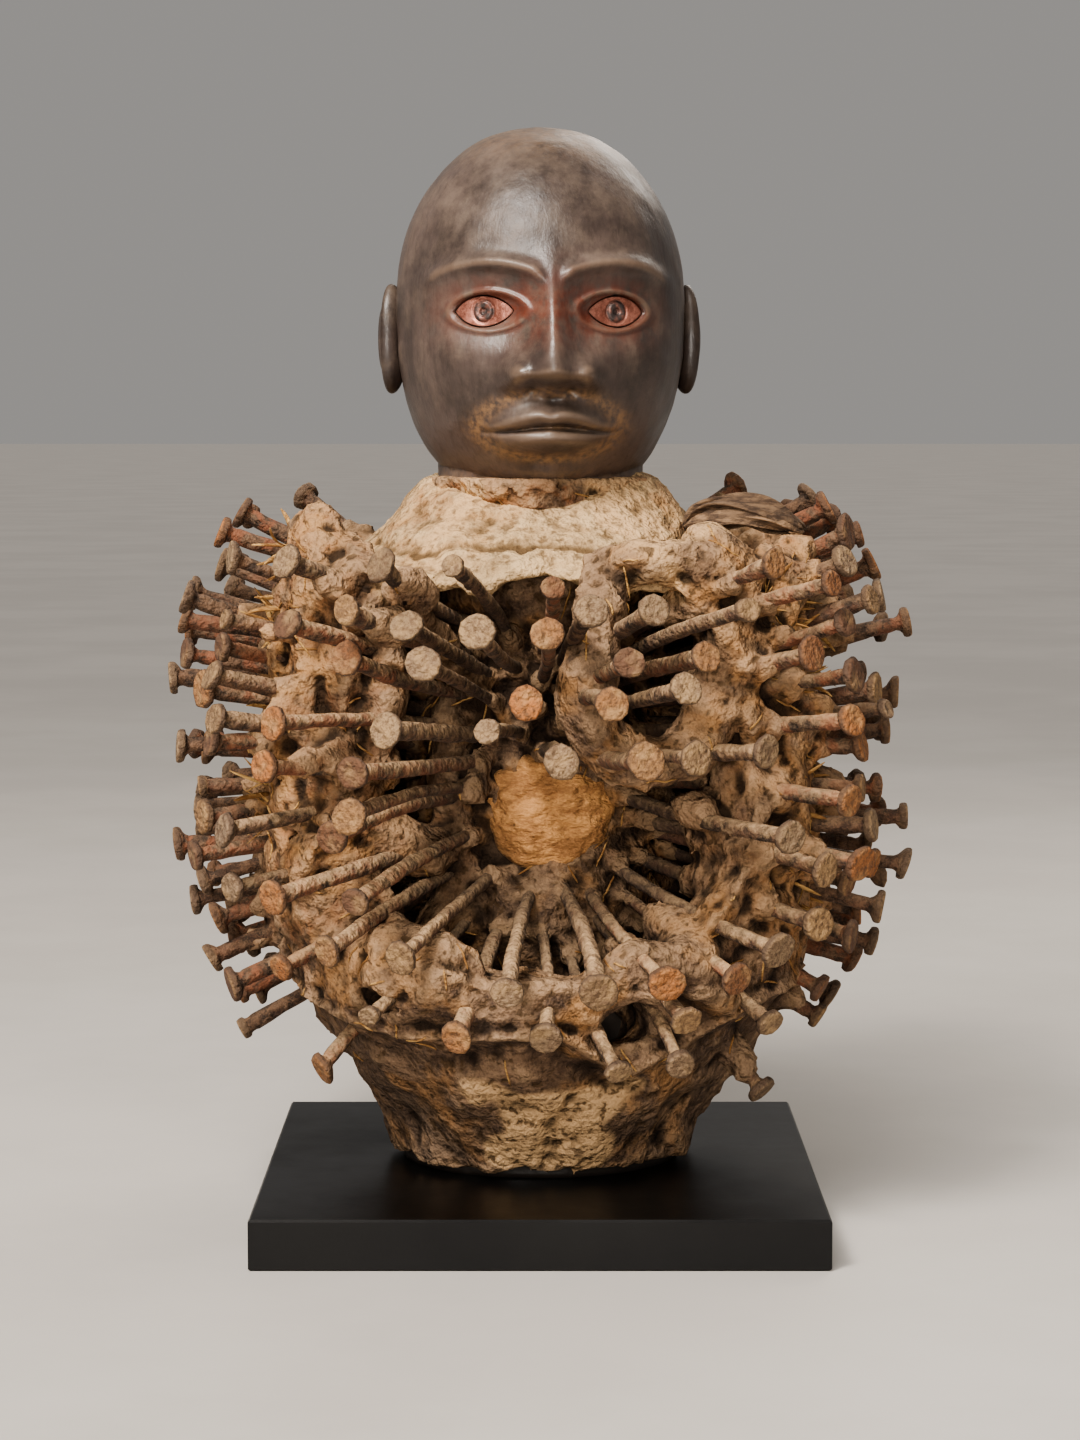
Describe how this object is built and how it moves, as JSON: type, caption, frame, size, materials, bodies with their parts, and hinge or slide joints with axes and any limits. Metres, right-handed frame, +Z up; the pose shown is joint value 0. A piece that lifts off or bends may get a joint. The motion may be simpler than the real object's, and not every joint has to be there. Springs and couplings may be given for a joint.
{
  "type": "nkisi nkondi figure",
  "caption": "Nail power figure: bald carved head on a trunk and flared foot wrapped in a clay cage that iron nails pierce all round, on a square black plinth.",
  "frame": {"origin": "centre of the plinth's underside, on the surface it stands on", "axes": "+Z up, the figure faces -Y, +X is the picture's right"},
  "size_m": [0.2505, 0.2579, 0.377],
  "materials": {
    "plinth_metal": "satin black paint with fine rubbed edges",
    "carved_wood": "dark handled wood with a soft waxy sheen",
    "eye_copper": "dull copper-coloured inlay with a dark iris",
    "belly_resin": "golden ochre, granular, matt",
    "dried_clay": "rough dried earth, cracked, matt",
    "nail_iron": "rusted and dusty, taupe to orange",
    "dry_fibre": "dry brown fibre, folded"
  },
  "bodies": {
    "root": {"plinth": "plinth_metal", "carved_figure": "carved_wood", "eye_inlay_left": "eye_copper", "eye_inlay_right": "eye_copper", "belly_charge": "belly_resin", "clay_crust": "dried_clay", "fibre_bundle": "dry_fibre", "nail_01": "nail_iron", "nail_02": "nail_iron", "nail_03": "nail_iron", "nail_04": "nail_iron", "nail_05": "nail_iron", "nail_06": "nail_iron", "nail_07": "nail_iron", "nail_08": "nail_iron", "nail_09": "nail_iron", "nail_10": "nail_iron", "nail_11": "nail_iron", "nail_12": "nail_iron", "nail_13": "nail_iron", "nail_14": "nail_iron", "nail_15": "nail_iron", "nail_16": "nail_iron", "nail_17": "nail_iron", "nail_18": "nail_iron", "nail_19": "nail_iron", "nail_20": "nail_iron", "nail_21": "nail_iron", "nail_22": "nail_iron", "nail_23": "nail_iron", "nail_24": "nail_iron", "nail_25": "nail_iron", "nail_26": "nail_iron", "nail_27": "nail_iron", "nail_28": "nail_iron", "nail_29": "nail_iron", "nail_30": "nail_iron", "nail_31": "nail_iron", "nail_32": "nail_iron", "nail_33": "nail_iron", "nail_34": "nail_iron", "nail_35": "nail_iron", "nail_36": "nail_iron", "nail_37": "nail_iron", "nail_38": "nail_iron", "nail_39": "nail_iron", "nail_40": "nail_iron", "nail_41": "nail_iron", "nail_42": "nail_iron"}
  },
  "joints": []
}
